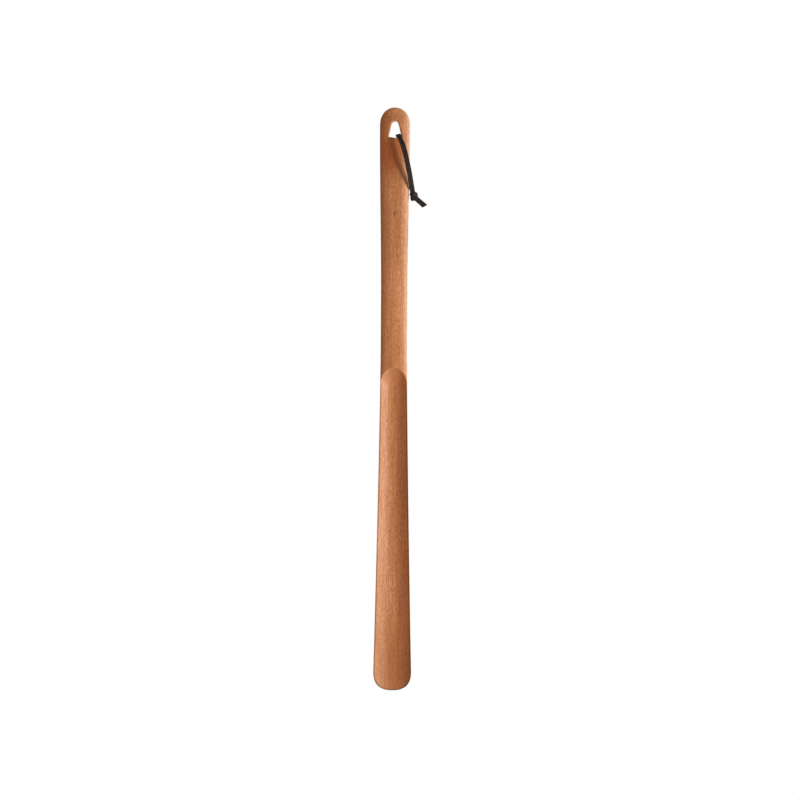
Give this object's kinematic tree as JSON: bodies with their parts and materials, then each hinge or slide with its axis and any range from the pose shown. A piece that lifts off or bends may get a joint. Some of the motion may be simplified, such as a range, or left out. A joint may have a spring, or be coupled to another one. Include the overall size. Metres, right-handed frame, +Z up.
{
  "type": "long shoehorn",
  "caption": "Long one-piece wooden shoehorn with a rounded stick handle, an arched scoop running to a rounded tip, a hang hole and a knotted leather thong.",
  "frame": {"origin": "the top of the hang hole's rim, on the centre line and on the plane of the side edges, where a peg carries the shoehorn", "axes": "+Z up along the handle, +X to the right, -Y the hollow front of the scoop"},
  "size_m": [0.0519, 0.028, 0.6],
  "materials": {
    "oiled_beech": "satin oiled beech, fine vertical grain",
    "dark_leather": "matt dark brown-black lace leather"
  },
  "bodies": {
    "shoehorn": {"shoehorn_body": "oiled_beech"},
    "thong": {"thong_loop": "dark_leather", "thong_knot": "dark_leather", "thong_tail_front": "dark_leather", "thong_tail_rear": "dark_leather"}
  },
  "joints": [
    {"name": "thong_swing", "type": "hinge", "parent": "shoehorn", "child": "thong", "pos_m": [0.003, 0, -0.0141], "axis": [0, -1, 0], "range_deg": [0, 324]}
  ]
}
